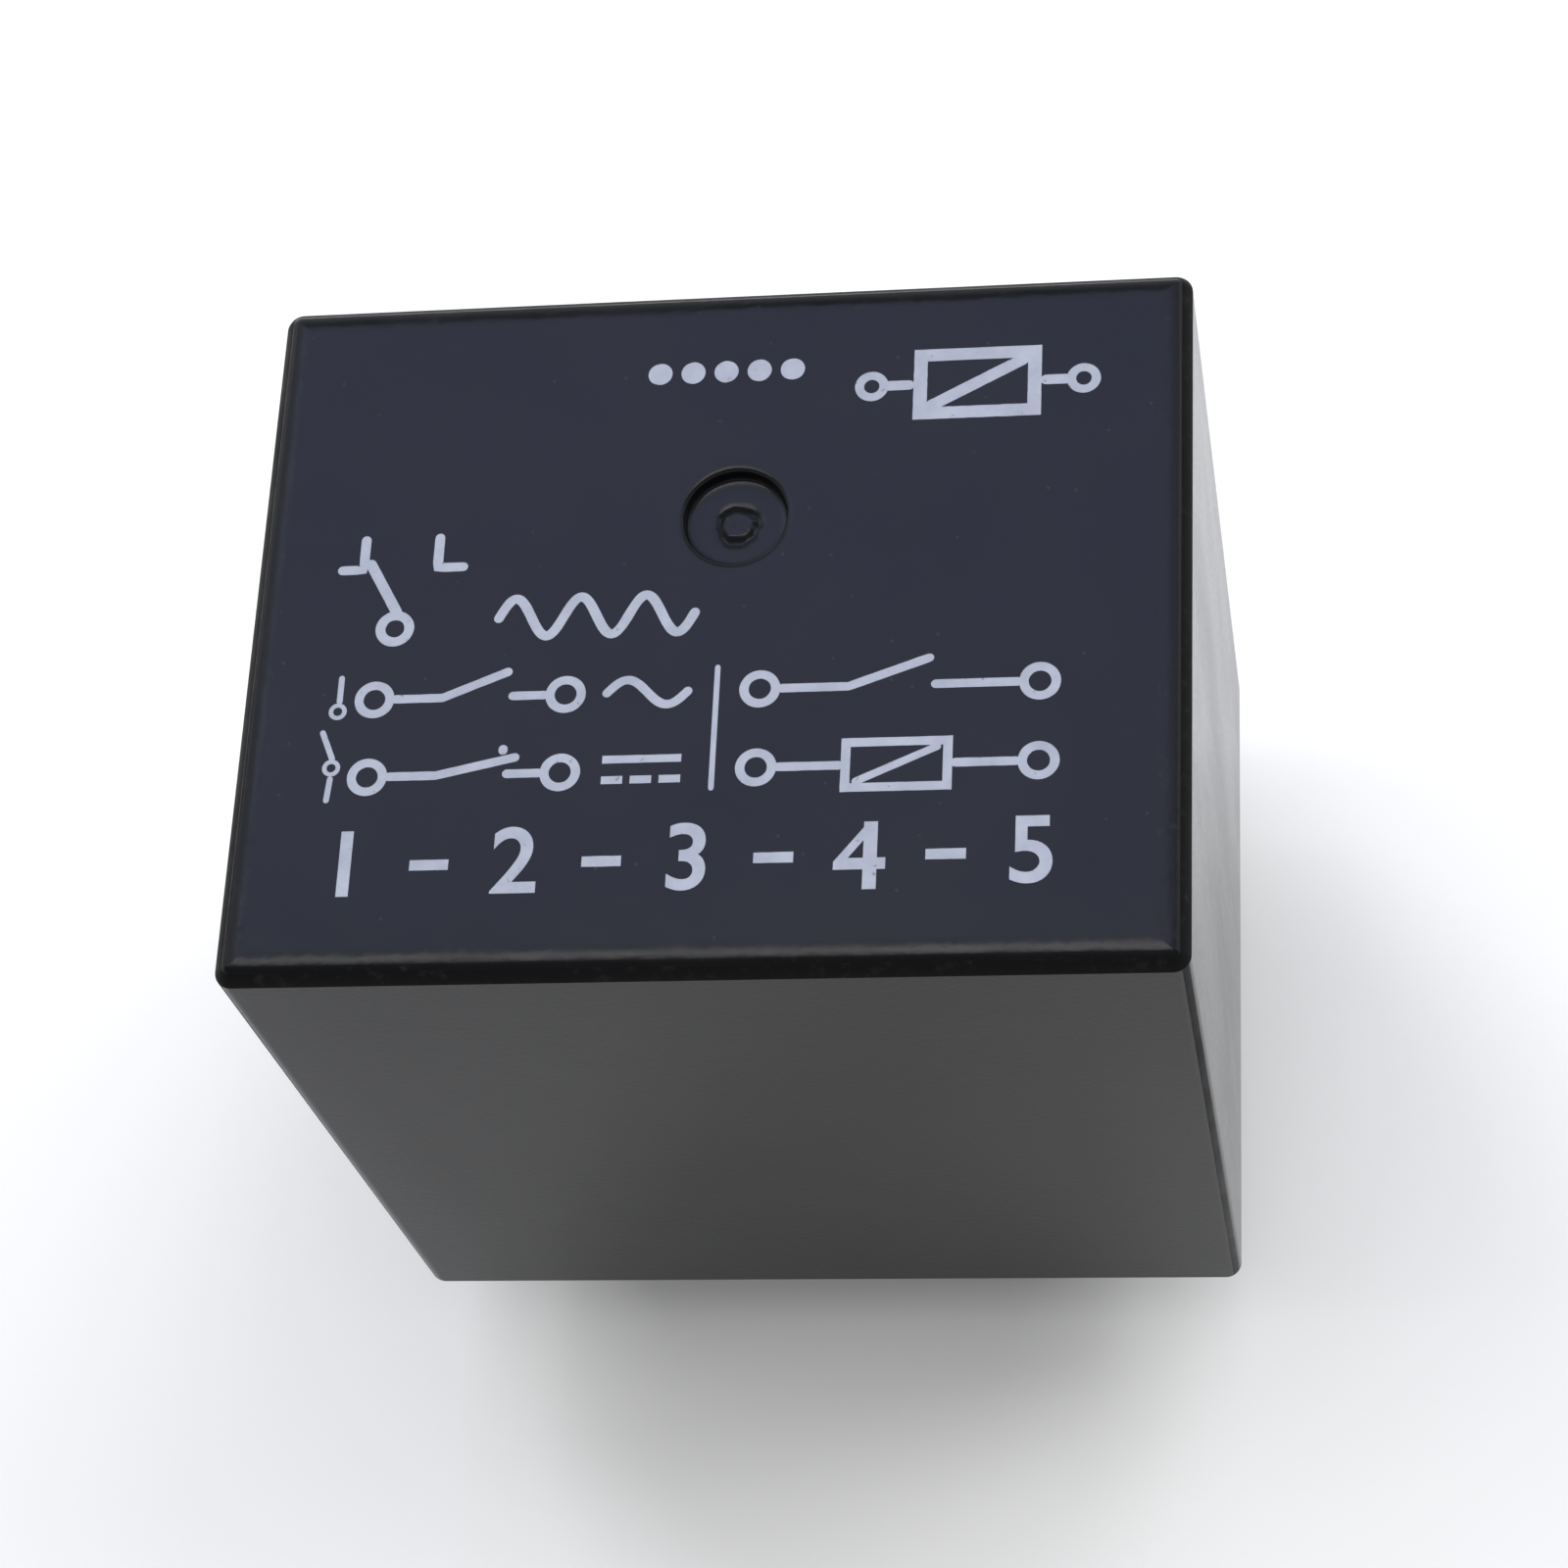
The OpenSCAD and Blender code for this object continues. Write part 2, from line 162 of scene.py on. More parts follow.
class Mat:
    """Small builder for one node material on a Principled shader."""

    def __init__(self, name, **sockets):
        self.m = bpy.data.materials.new(name)
        self.m.use_nodes = True
        self.t = self.m.node_tree
        self.n = self.t.nodes
        self.b = self.n["Principled BSDF"]
        for k, v in sockets.items():
            self.b.inputs[k.replace("_", " ")].default_value = v
        self.co = self.n.new("ShaderNodeTexCoord").outputs["Object"]

    def link(self, a, b):
        self.t.links.new(a, b)

    def mapped(self, scale, rotation=(0, 0, 0)):
        mp = self.n.new("ShaderNodeMapping")
        mp.inputs["Scale"].default_value = scale
        mp.inputs["Rotation"].default_value = rotation
        self.link(self.co, mp.inputs["Vector"])
        return mp.outputs["Vector"]

    def noise(self, scale, detail=3.0, rough=0.55, distortion=0.0, vec=None):
        t = self.n.new("ShaderNodeTexNoise")
        t.inputs["Scale"].default_value = scale
        t.inputs["Detail"].default_value = detail
        t.inputs["Roughness"].default_value = rough
        t.inputs["Distortion"].default_value = distortion
        self.link(self.co if vec is None else vec, t.inputs["Vector"])
        return t.outputs["Fac"]

    def cells(self, scale, feature="F1", vec=None):
        t = self.n.new("ShaderNodeTexVoronoi")
        t.feature = feature
        t.inputs["Scale"].default_value = scale
        self.link(self.co if vec is None else vec, t.inputs["Vector"])
        return t.outputs["Distance"]

    def ramp(self, fac, *stops, smooth=False):
        r = self.n.new("ShaderNodeValToRGB")
        r.color_ramp.interpolation = "EASE" if smooth else "LINEAR"
        el = r.color_ramp.elements
        while len(el) < len(stops):
            el.new(0.5)
        for e, (p, c) in zip(el, stops):
            e.position = p
            e.color = (c, c, c, 1) if isinstance(c, (int, float)) else (*c, 1)
        self.link(fac, r.inputs["Fac"])
        return r.outputs["Color"]

    def span(self, fac, a, b, c, d):
        r = self.n.new("ShaderNodeMapRange")
        for k, v in zip(("From Min", "From Max", "To Min", "To Max"), (a, b, c, d)):
            r.inputs[k].default_value = v
        self.link(fac, r.inputs["Value"])
        return r.outputs["Result"]

    def math(self, op, a, b):
        r = self.n.new("ShaderNodeMath")
        r.operation = op
        for i, x in enumerate((a, b)):
            if isinstance(x, (int, float)):
                r.inputs[i].default_value = x
            else:
                self.link(x, r.inputs[i])
        return r.outputs[0]

    def mix(self, fac, a, b, blend="MIX"):
        r = self.n.new("ShaderNodeMix")
        r.data_type = "RGBA"
        r.blend_type = blend
        if isinstance(fac, (int, float)):
            r.inputs[0].default_value = fac
        else:
            self.link(fac, r.inputs[0])
        for s, x in ((r.inputs[6], a), (r.inputs[7], b)):
            if isinstance(x, tuple):
                s.default_value = (*x, 1)
            else:
                self.link(x, s)
        return r.outputs[2]

    def axis(self, which):
        s = self.n.new("ShaderNodeSeparateXYZ")
        self.link(self.co, s.inputs[0])
        return s.outputs[which]

    def bump(self, height, strength, distance, normal=None):
        b = self.n.new("ShaderNodeBump")
        b.inputs["Strength"].default_value = strength
        b.inputs["Distance"].default_value = distance
        self.link(height, b.inputs["Height"])
        if normal is not None:
            self.link(normal, b.inputs["Normal"])
        return b.outputs["Normal"]

    def out(self, color=None, rough=None, normal=None, metallic=None):
        for v, k in ((color, "Base Color"), (rough, "Roughness"), (normal, "Normal"),
                     (metallic, "Metallic")):
            if v is not None:
                self.link(v, self.b.inputs[k])
        return self.m


def cover_roof():
    """Smooth moulded roof: broad sheen changes, faint rubbing marks, fine grain."""
    k = Mat("cover_roof", Specular_IOR_Level=0.5)
    broad = k.noise(160, 4, 0.55, 0.4)
    rub = k.noise(1.0, 4, 0.6, vec=k.mapped((700, 1500, 1500), (0, 0, 0.35)))
    grain = k.noise(9000, 3, 0.6)
    speck = k.cells(1500)
    color = k.ramp(broad, (0.3, (0.0038, 0.0041, 0.0052)), (0.7, (0.0060, 0.0065, 0.0080)))
    dust = k.ramp(speck, (0.045, 1.0), (0.07, 0.0))
    color = k.mix(k.math("MULTIPLY", dust, 0.10), color, (0.10, 0.10, 0.11))
    rough = k.math("ADD", k.span(broad, 0.3, 0.7, 0.18, 0.24), k.span(rub, 0.35, 0.7, -0.015, 0.02))
    n = k.bump(k.noise(260, 2, 0.5), 0.35, 0.00003)
    n = k.bump(grain, 0.30, 0.000004, n)
    return k.out(color, rough, n)


def cover_edge():
    """Polished rounding between the faces: darker, smoother, a few worn flecks."""
    k = Mat("cover_edge", Specular_IOR_Level=0.5)
    broad = k.noise(420, 3, 0.6)
    fleck = k.noise(2600, 4, 0.7)
    color = k.ramp(fleck, (0.60, (0.0046, 0.0048, 0.0055)), (0.78, (0.018, 0.018, 0.020)))
    rough = k.span(broad, 0.3, 0.7, 0.17, 0.27)
    n = k.bump(k.noise(800, 3, 0.6), 0.6, 0.00004)
    n = k.bump(k.noise(5200, 3, 0.6), 0.4, 0.000006, n)
    return k.out(color, rough, n)


def cover_side():
    """Side walls with a fine eroded mould texture, slight flow marks and a few rubs."""
    k = Mat("cover_side", Specular_IOR_Level=0.12)
    broad = k.noise(120, 4, 0.6, 0.6)
    flow = k.noise(1.0, 3, 0.6, vec=k.mapped((220, 220, 60)))
    grain = k.cells(7000)
    fine = k.noise(14000, 2, 0.6)
    color = k.ramp(broad, (0.3, (0.0080, 0.0080, 0.0080)), (0.7, (0.0112, 0.0112, 0.0111)))
    scuff = k.ramp(k.noise(1.0, 4, 0.62, vec=k.mapped((330, 330, 1500), (0.25, 0.18, 0))), (0.60, 0.0), (0.74, 1.0))
    dust = k.ramp(k.cells(1150), (0.04, 1.0), (0.065, 0.0))
    color = k.mix(k.math("MULTIPLY", scuff, 0.045), color, (0.10, 0.10, 0.10))
    color = k.mix(k.math("MULTIPLY", dust, 0.09), color, (0.11, 0.11, 0.115))
    rough = k.math("ADD", k.span(flow, 0.3, 0.7, 0.13, 0.19), k.span(grain, 0.0, 0.6, -0.02, 0.03))
    n = k.bump(k.noise(240, 2, 0.5), 0.3, 0.00003)
    n = k.bump(grain, 0.25, 0.000006, n)
    n = k.bump(fine, 0.2, 0.000003, n)
    return k.out(color, rough, n)


def cover_corner():
    """Upright corners and the line under the roof rounding: a low specular level makes them reflect less, as
    painted shade; rough, with lighter worn flecks.
    """
    # Specular level 0.06 is painted shade: these edges reflect less, so a dark line shows along them.
    k = Mat("cover_corner", Specular_IOR_Level=0.06)
    broad = k.noise(500, 4, 0.65)
    fleck = k.noise(3400, 4, 0.7)
    color = k.ramp(fleck, (0.55, (0.0060, 0.0061, 0.0060)), (0.80, (0.020, 0.020, 0.020)))
    low = k.span(k.axis("Z"), 0.004, 0.018, -0.12, 0.06)
    rough = k.math("ADD", k.span(broad, 0.3, 0.7, 0.36, 0.52), low)
    n = k.bump(k.noise(900, 2, 0.5), 0.4, 0.00002)
    return k.out(color, rough, k.bump(fleck, 0.4, 0.000006, n))


def ink():
    """Pad-printed ink: pale lavender, uneven in density, faintly grainy."""
    k = Mat("print_ink", Specular_IOR_Level=0.3)
    dens = k.noise(1500, 4, 0.65)
    grain = k.noise(9000, 2, 0.6)
    color = k.ramp(dens, (0.30, (0.272, 0.296, 0.362)), (0.72, (0.345, 0.370, 0.442)))
    pin = k.ramp(k.noise(5200, 2, 0.5), (0.26, 1.0), (0.31, 0.0))
    color = k.mix(k.math("MULTIPLY", pin, 0.6), color, (0.06, 0.065, 0.08))
    rough = k.span(grain, 0.3, 0.7, 0.50, 0.68)
    return k.out(color, rough, k.bump(grain, 0.4, 0.000004))


def plastic(name, lo, hi, r0, r1, scale=300, grain=7000):
    k = Mat(name, Specular_IOR_Level=0.45)
    broad = k.noise(scale, 4, 0.6, 0.3)
    g = k.noise(grain, 3, 0.6)
    spots = k.ramp(k.cells(1400), (0.04, 1.0), (0.07, 0.0))
    color = k.ramp(broad, (0.3, lo), (0.7, hi))
    color = k.mix(k.math("MULTIPLY", spots, 0.25), color, tuple(0.55 * c for c in lo))
    rough = k.math("ADD", k.span(broad, 0.3, 0.7, r0, r1), k.span(g, 0.3, 0.7, -0.04, 0.04))
    n = k.bump(k.noise(500, 2, 0.5), 0.3, 0.00003)
    return k.out(color, rough, k.bump(g, 0.35, 0.000006, n))


def epoxy():
    """Poured sealing resin: glossy, near black, with faint swirls and pits."""
    k = Mat("sealing_resin", Specular_IOR_Level=0.5, Coat_Weight=0.35, Coat_Roughness=0.08)
    swirl = k.noise(260, 5, 0.6, 1.6)
    pits = k.ramp(k.cells(900), (0.05, 0.0), (0.09, 1.0))
    color = k.ramp(swirl, (0.3, (0.010, 0.0095, 0.0090)), (0.7, (0.030, 0.028, 0.026)))
    rough = k.span(swirl, 0.3, 0.7, 0.12, 0.30)
    n = k.bump(k.noise(330, 2, 0.5), 0.5, 0.00005)
    return k.out(color, rough, k.bump(pits, 0.35, 0.00002, n))


def metal(name, lo, hi, r0, r1, brush=(300, 300, 5200), stain=(0.20, 0.17, 0.14), amount=0.35):
    """Rolled or plated sheet: fine drawn lines, dull stains, small pits."""
    k = Mat(name, Metallic=1.0)
    broad = k.noise(380, 4, 0.6, 0.5)
    lines = k.noise(1.0, 3, 0.6, vec=k.mapped(brush))
    pits = k.ramp(k.cells(2600), (0.03, 0.0), (0.08, 1.0))
    dull = k.ramp(k.noise(900, 5, 0.7), (0.55, 0.0), (0.78, 1.0))
    color = k.ramp(broad, (0.3, lo), (0.7, hi))
    color = k.mix(k.math("MULTIPLY", dull, amount), color, stain)
    rough = k.math("ADD", k.span(broad, 0.3, 0.7, r0, r1), k.span(lines, 0.3, 0.7, -0.05, 0.07))
    rough = k.math("ADD", rough, k.math("MULTIPLY", dull, 0.18))
    n = k.bump(lines, 0.3, 0.000008)
    return k.out(color, rough, k.bump(pits, 0.3, 0.00001, n))


def strip_metal(name, alloy_lo, alloy_hi, line):
    """Contact strip: bare alloy above, bright uneven tin where it was dipped."""
    k = Mat(name, Metallic=1.0)
    broad = k.noise(420, 4, 0.6, 0.4)
    lines = k.noise(1.0, 3, 0.6, vec=k.mapped((4800, 4800, 260)))
    runs = k.noise(900, 3, 0.6, 0.8)
    z = k.axis("Z")
    edge = k.math("ADD", z, k.span(runs, 0.3, 0.7, -0.00012, 0.00012))
    dipped = k.ramp(k.span(edge, (line - 0.12) * MM, (line + 0.12) * MM, 1.0, 0.0),
                    (0.3, 0.0), (0.7, 1.0))
    alloy = k.ramp(broad, (0.3, alloy_lo), (0.7, alloy_hi))
    tin = k.ramp(runs, (0.3, (0.56, 0.56, 0.57)), (0.7, (0.74, 0.74, 0.74)))
    color = k.mix(dipped, alloy, tin)
    dull = k.ramp(k.noise(1300, 5, 0.7), (0.56, 0.0), (0.80, 1.0))
    color = k.mix(k.math("MULTIPLY", dull, 0.35), color, (0.24, 0.22, 0.20))
    rough = k.math("ADD", k.span(runs, 0.3, 0.7, 0.20, 0.36), k.span(lines, 0.3, 0.7, -0.04, 0.06))
    rough = k.math("ADD", rough, k.math("MULTIPLY", dull, 0.15))
    n = k.bump(runs, 0.45, 0.00003)
    return k.out(color, rough, k.bump(lines, 0.2, 0.000006, n))


def enamel_wire():
    k = Mat("enamelled_copper", Metallic=0.75, Coat_Weight=0.5, Coat_Roughness=0.15)
    broad = k.noise(420, 4, 0.6)
    turn = k.noise(1.0, 3, 0.6, vec=k.mapped((240, 240, 6200)))
    color = k.ramp(turn, (0.3, (0.36, 0.115, 0.035)), (0.7, (0.62, 0.25, 0.09)))
    color = k.mix(k.span(broad, 0.35, 0.75, 0.0, 0.35), color, (0.26, 0.075, 0.022))
    rough = k.span(broad, 0.3, 0.7, 0.24, 0.40)
    return k.out(color, rough, k.bump(turn, 0.2, 0.000008))


def silver():
    k = Mat("contact_silver", Metallic=1.0)
    broad = k.noise(1300, 4, 0.6)
    pits = k.ramp(k.cells(5200), (0.05, 0.0), (0.12, 1.0))
    color = k.ramp(broad, (0.3, (0.70, 0.68, 0.64)), (0.7, (0.86, 0.85, 0.82)))
    color = k.mix(k.span(k.noise(2600, 5, 0.7), 0.55, 0.8, 0.0, 0.6), color, (0.30, 0.26, 0.20))
    rough = k.span(broad, 0.3, 0.7, 0.20, 0.38)
    return k.out(color, rough, k.bump(pits, 0.4, 0.000012))


def floor_card():
    """Plain pale card; seen from below it lets the view through."""
    k = Mat("floor_card", Roughness=0.8, Specular_IOR_Level=0.2)
    tone = k.noise(18, 3, 0.5)
    k.out(k.ramp(tone, (0.3, (0.800, 0.803, 0.800)), (0.7, (0.825, 0.828, 0.825))), None,
          k.bump(k.noise(2400, 3, 0.6), 0.12, 0.00004))
    back = k.n.new("ShaderNodeNewGeometry").outputs["Backfacing"]
    clear = k.n.new("ShaderNodeBsdfTransparent")
    mix = k.n.new("ShaderNodeMixShader")
    k.link(back, mix.inputs[0])
    k.link(k.b.outputs[0], mix.inputs[1])
    k.link(clear.outputs[0], mix.inputs[2])
    k.link(mix.outputs[0], k.n["Material Output"].inputs["Surface"])
    return k.m


ROOF_M, EDGE_M, SIDE_M, CORNER_M = cover_roof(), cover_edge(), cover_side(), cover_corner()
INSIDE_M = plastic("cover_inside", (0.012, 0.012, 0.013), (0.020, 0.020, 0.021), 0.40, 0.52)
BASE_M = plastic("base_plastic", (0.010, 0.010, 0.011), (0.018, 0.018, 0.019), 0.36, 0.50)
BOBBIN_M = plastic("bobbin_plastic", (0.62, 0.57, 0.45), (0.72, 0.68, 0.56), 0.38, 0.52)
RESIN_M = epoxy()
INK_M = ink()
IRON_M = metal("plated_iron", (0.46, 0.46, 0.47), (0.60, 0.60, 0.60), 0.30, 0.44)
BRONZE_M = metal("spring_bronze", (0.52, 0.31, 0.15), (0.66, 0.42, 0.22), 0.22, 0.34,
                 (5200, 300, 300), (0.25, 0.12, 0.06))
STRIP_M = strip_metal("tinned_strip", (0.50, 0.31, 0.17), (0.62, 0.40, 0.23), 0.9)
PIN_M = strip_metal("tinned_pin", (0.55, 0.50, 0.40), (0.66, 0.62, 0.52), 3.4)
WIRE_M = enamel_wire()
SILVER_M = silver()


# ------------------------------------------------------------------ cover

CORNER, SIDE_N = 9, 12


def loop_points(inset, radius):
    """Closed rounded rectangle, inset from the housing's outline, counter-clockwise."""
    hx, hy = HX - inset, HY - inset
    r = max(radius, 0.015)
    pts = []
    corners = ((hx - r, hy - r, 0), (-hx + r, hy - r, 90), (-hx + r, -hy + r, 180), (hx - r, -hy + r, 270))
    for c in range(4):
        cx, cy, a0 = corners[c]
        for i in range(CORNER + 1):
            a = math.radians(a0 + 90 * i / CORNER)
            pts.append((cx + r * math.cos(a), cy + r * math.sin(a)))
        nx, ny, na = corners[(c + 1) % 4]
        end = (nx + r * math.cos(math.radians(na)), ny + r * math.sin(math.radians(na)))
        sx, sy = pts[-1]
        for i in range(1, SIDE_N):
            t = i / SIDE_N
            pts.append((sx + (end[0] - sx) * t, sy + (end[1] - sy) * t))
    return pts


def build_cover():
    verts, faces, index = [], [], []
    rc = 0.38

    def add(points, z):
        s = len(verts)
        verts.extend((x, y, z) for x, y in points)
        return list(range(s, s + len(points)))

    def bridge(a, b, mat, corner=None):
        n = len(a)
        for i in range(n):
            j = (i + 1) % n
            faces.append((a[i], a[j], b[j], b[i]))
            turn = 3 <= i % (CORNER + SIDE_N) < 6
            index.append(corner if corner is not None and turn else mat)

    n_loop = 4 * (CORNER + SIDE_N)
    # Inside: roof underside, walls, inner edge of the rim
    inner = []
    for inset, z in ((WALL, INZ), (WALL, 10.0), (WALL, 0.09)):
        inner.append(add(loop_points(inset, 0.05), z))
    for a in (30, 60, 90):
        t = math.radians(a)
        inner.append(add(loop_points(WALL - 0.09 * (1 - math.cos(t)), 0.05), 0.09 * (1 - math.sin(t))))
    for a, b in zip(inner, inner[1:]):
        bridge(a, b, 3)
    cap = add([(0.0, 0.0)], INZ)[0]
    for i in range(n_loop):
        faces.append((inner[0][(i + 1) % n_loop], inner[0][i], cap))
        index.append(3)

    # Rim, outer foot rounding, wall, roof rounding
    foot = [add(loop_points(0.16 * (1 - math.sin(math.radians(a))), rc - 0.1 * (1 - math.sin(math.radians(a)))),
                0.16 * (1 - math.cos(math.radians(a)))) for a in (0, 22.5, 45, 67.5, 90)]
    bridge(inner[-1], foot[0], 3)
    for a, b in zip(foot, foot[1:]):
        bridge(a, b, 1)
    # (from degrees, to degrees, radius): soft shoulder, turn, flatter slope, tight lower end
    bends = ((0, 12, 1.5), (12, 40, 0.34), (40, 60, 0.95), (60, 90, 0.06))
    profile, polished = [(0.0, 0.0)], 0.0
    for a0, a1, r in bends:
        if a0 == 40:
            polished = profile[-1][0]
        n = max(4, int((a1 - a0) / 4))
        for i in range(n):
            s = math.radians(a0 + (a1 - a0) * i / n)
            e = math.radians(a0 + (a1 - a0) * (i + 1) / n)
            u, w = profile[-1]
            profile.append((u + r * (math.sin(e) - math.sin(s)), w + r * (math.cos(s) - math.cos(e))))
    wide, drop = profile[-1]
    walls = [foot[-1]]
    for z in (0.17, 4.0, 8.0, 12.0, 16.0, FACE - drop - 0.012, FACE - drop):
        walls.append(add(loop_points(0.0, rc), z))
    for a, b in zip(walls, walls[1:]):
        bridge(a, b, 2, 4)
    prev = walls[-1]
    for u, w in reversed(profile[:-1]):
        inset = wide - u
        ring = add(loop_points(inset, rc - inset), FACE - w)
        bridge(prev, ring, 4 if u >= polished - 1e-9 else 1)
        prev = ring
    rim = add(loop_points(wide + 0.02, 0.015), FACE)
    bridge(prev, rim, 0)

    # Flat roof out to the dimple, in loops that turn from the outline to a circle
    outer = loop_points(wide + 0.02, 0.015)
    cx, cy = DIMPLE
    ang = [math.atan2(y - cy, x - cx) for x, y in outer]
    mouth = DIMPLE_R + 0.07
    circle = [(cx + (mouth + 0.02) * math.cos(a), cy + (mouth + 0.02) * math.sin(a)) for a in ang]
    prev = rim
    for t in (0.12, 0.35, 0.6, 0.8, 0.93, 1.0):
        ring = add([(o[0] + (c[0] - o[0]) * t, o[1] + (c[1] - o[1]) * t) for o, c in zip(outer, circle)], FACE)
        bridge(prev, ring, 0)
        prev = ring

    # Dimple, on its own even ring of points
    n = 96
    angles = [2 * math.pi * i / n for i in range(n)]

    def circ(r, z, wob=0.0, seed=0.0, skew=0.0):
        pts = []
        for a in angles:
            k = noise.noise(Vector((2.2 * math.cos(a), 2.2 * math.sin(a), seed))) if wob else 0.0
            m = noise.noise(Vector((1.6 * math.cos(a), 1.6 * math.sin(a), 11.0))) if skew else 0.0
            q = r * (1 + skew * m)
            pts.append((cx + q * math.cos(a), cy + q * math.sin(a), z + wob * k))
        s = len(verts)
        verts.extend(pts)
        return list(range(s, s + n))

    # join of the two rings by angle
    inner_ring = circ(mouth, FACE)
    order = sorted(range(len(ang)), key=lambda i: ang[i] % (2 * math.pi))
    a_ids = [prev[i] for i in order]
    a_ang = [ang[i] % (2 * math.pi) for i in order]
    i = j = 0
    na, nb = len(a_ids), n
    while i < na or j < nb:
        ta = a_ang[i % na] + (2 * math.pi if i >= na else 0)
        tb = angles[j % nb] + (2 * math.pi if j >= nb else 0)
        ta1 = a_ang[(i + 1) % na] + (2 * math.pi if i + 1 >= na else 0)
        tb1 = angles[(j + 1) % nb] + (2 * math.pi if j + 1 >= nb else 0)
        if j >= nb or (i < na and ta1 <= tb1):
            faces.append((a_ids[i % na], a_ids[(i + 1) % na], inner_ring[j % nb]))
            i += 1
        else:
            faces.append((a_ids[i % na], inner_ring[(j + 1) % nb], inner_ring[j % nb]))
            j += 1
        index.append(0)
    prev = inner_ring
    floor_z = FACE - DIMPLE_DEPTH
    rings = []
    u, w = mouth, FACE
    for a0, a1, r, k in ((0, 14, 0.5, 4), (14, 90, 0.09, 6)):
        for i in range(k):
            s0, s1 = (math.radians(a0 + (a1 - a0) * j / k) for j in (i, i + 1))
            u -= r * (math.sin(s1) - math.sin(s0))
            w -= r * (math.cos(s0) - math.cos(s1))
            rings.append((u, w, 0, 0))
    # foot: tight fillet, then a floor that levels out slowly
    u, w = u - 0.01, floor_z + 0.0219 + 0.08 * math.cos(math.radians(12))
    rings.append((u, w, 0, 0))
    for a0, a1, r, k in ((90, 12, 0.08, 6), (12, 0, 1.0, 6)):
        for i in range(k):
            s0, s1 = (math.radians(a0 + (a1 - a0) * j / k) for j in (i, i + 1))
            u -= r * (math.sin(s0) - math.sin(s1))
            w -= r * (math.cos(s1) - math.cos(s0))
            rings.append((u, w, 0, 0))
    # gate mark: ragged round groove about a low torn nib
    rings += [(0.70, floor_z, 0, 0), (0.50, floor_z, 0, 0.16), (0.46, floor_z - 0.020, 0.010, 0.17),
              (0.41, floor_z - 0.042, 0.022, 0.18), (0.36, floor_z - 0.020, 0.016, 0.18), (0.31, floor_z + 0.010, 0.008, 0.16),
              (0.25, floor_z + 0.014, 0.005, 0.12), (0.18, floor_z + 0.010, 0.007, 0.08),
              (0.11, floor_z + 0.006, 0.006, 0.04), (0.05, floor_z + 0.008, 0.003, 0)]
    for r, z, wob, skew in rings:
        ring = circ(r, z, wob, 2.4 + 3 * r, skew)
        bridge(prev, ring, 0)
        prev = ring
    s = len(verts)
    verts.append((cx, cy, floor_z + 0.009))
    for i in range(n):
        faces.append((prev[i], prev[(i + 1) % n], s))
        index.append(0)
    return mesh_object("cover_shell", verts, faces, [ROOF_M, EDGE_M, SIDE_M, INSIDE_M, CORNER_M], index, 38.0)


cover = place(build_cover(), "frame", "cover_plastic", "cover")


# ------------------------------------------------------------------ roof print

